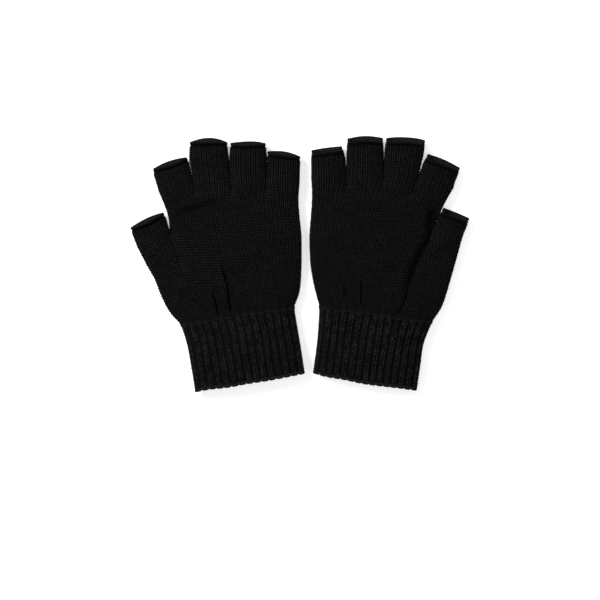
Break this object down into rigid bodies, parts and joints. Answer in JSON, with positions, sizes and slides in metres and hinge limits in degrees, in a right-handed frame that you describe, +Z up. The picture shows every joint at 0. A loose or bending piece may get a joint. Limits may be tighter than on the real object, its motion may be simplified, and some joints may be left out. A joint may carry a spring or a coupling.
{
  "type": "pair of half-finger gloves",
  "caption": "A pair of fine-knit half-finger gloves lying flat, palms up, with ribbed cuffs, rolled finger edges, and fingers, thumbs and cuffs that fold.",
  "frame": {"origin": "centre of the box round both gloves, on the surface they lie on", "axes": "+Z up, out of the palms; +Y from the cuffs to the fingertips; +X from the left glove to the right glove as seen from above"},
  "size_m": [0.2436, 0.1834, 0.013],
  "materials": {
    "knit_yarn": "black acrylic yarn, plain machine knit and rib, soft and matt",
    "rolled_edge_yarn": "the same black yarn, rolled bind-off and cast-on edges",
    "elastic_thread": "rubber thread covered with black yarn, matt"
  },
  "bodies": {
    "left_hand": {"left_lower_palm": "knit_yarn", "left_upper_palm": "knit_yarn"},
    "left_cuff": {"left_cuff": "knit_yarn", "left_cuff_hem": "rolled_edge_yarn", "left_cuff_elastic": "elastic_thread"},
    "left_thumb": {"left_thumb_stall": "knit_yarn", "left_thumb_rolled_edge": "rolled_edge_yarn"},
    "left_index": {"left_index_stall": "knit_yarn", "left_index_rolled_edge": "rolled_edge_yarn"},
    "left_middle": {"left_middle_stall": "knit_yarn", "left_middle_rolled_edge": "rolled_edge_yarn"},
    "left_ring": {"left_ring_stall": "knit_yarn", "left_ring_rolled_edge": "rolled_edge_yarn"},
    "left_little": {"left_little_stall": "knit_yarn", "left_little_rolled_edge": "rolled_edge_yarn"},
    "right_hand": {"right_lower_palm": "knit_yarn", "right_upper_palm": "knit_yarn"},
    "right_cuff": {"right_cuff": "knit_yarn", "right_cuff_hem": "rolled_edge_yarn", "right_cuff_elastic": "elastic_thread"},
    "right_thumb": {"right_thumb_stall": "knit_yarn", "right_thumb_rolled_edge": "rolled_edge_yarn"},
    "right_index": {"right_index_stall": "knit_yarn", "right_index_rolled_edge": "rolled_edge_yarn"},
    "right_middle": {"right_middle_stall": "knit_yarn", "right_middle_rolled_edge": "rolled_edge_yarn"},
    "right_ring": {"right_ring_stall": "knit_yarn", "right_ring_rolled_edge": "rolled_edge_yarn"},
    "right_little": {"right_little_stall": "knit_yarn", "right_little_rolled_edge": "rolled_edge_yarn"}
  },
  "joints": [
    {"name": "left_cuff_fold", "type": "hinge", "parent": "left_hand", "child": "left_cuff", "pos_m": [-0.045, -0.03721, 0.0115], "axis": [-0.9892, -0.1465, 0], "range_deg": [0, 90]},
    {"name": "left_thumb_curl", "type": "hinge", "parent": "left_hand", "child": "left_thumb", "pos_m": [-0.10475, 0.01654, 0.0115], "axis": [0.9271, 0.3748, 0], "range_deg": [0, 60]},
    {"name": "left_index_curl", "type": "hinge", "parent": "left_hand", "child": "left_index", "pos_m": [-0.089, 0.05529, 0.0115], "axis": [0.9806, 0.1961, 0], "range_deg": [0, 90]},
    {"name": "left_middle_curl", "type": "hinge", "parent": "left_hand", "child": "left_middle", "pos_m": [-0.063, 0.05904, 0.0115], "axis": [0.9957, 0.0922, 0], "range_deg": [0, 90]},
    {"name": "left_ring_curl", "type": "hinge", "parent": "left_hand", "child": "left_ring", "pos_m": [-0.03675, 0.06029, 0.0115], "axis": [1, 0, 0], "range_deg": [0, 90]},
    {"name": "left_little_curl", "type": "hinge", "parent": "left_hand", "child": "left_little", "pos_m": [-0.01225, 0.06029, 0.0115], "axis": [1, 0, 0], "range_deg": [0, 90]},
    {"name": "right_glove_lift", "type": "slide", "parent": "left_hand", "child": "right_hand", "axis": [0, 0, 1], "range_m": [0, 0.1]},
    {"name": "right_cuff_fold", "type": "hinge", "parent": "right_hand", "child": "right_cuff", "pos_m": [0.0545, -0.03646, 0.0115], "axis": [-0.9898, 0.1423, 0], "range_deg": [0, 90]},
    {"name": "right_thumb_curl", "type": "hinge", "parent": "right_hand", "child": "right_thumb", "pos_m": [0.10525, 0.01979, 0.0115], "axis": [0.9831, -0.1829, 0], "range_deg": [0, 60]},
    {"name": "right_little_curl", "type": "hinge", "parent": "right_hand", "child": "right_little", "pos_m": [0.02125, 0.06179, 0.0115], "axis": [0.9992, 0.0392, 0], "range_deg": [0, 90]},
    {"name": "right_ring_curl", "type": "hinge", "parent": "right_hand", "child": "right_ring", "pos_m": [0.047, 0.06154, 0.0115], "axis": [0.9983, -0.0576, 0], "range_deg": [0, 90]},
    {"name": "right_middle_curl", "type": "hinge", "parent": "right_hand", "child": "right_middle", "pos_m": [0.07175, 0.05979, 0.0115], "axis": [0.9964, -0.0848, 0], "range_deg": [0, 90]},
    {"name": "right_index_curl", "type": "hinge", "parent": "right_hand", "child": "right_index", "pos_m": [0.09675, 0.05654, 0.0115], "axis": [0.9859, -0.1674, 0], "range_deg": [0, 90]}
  ]
}
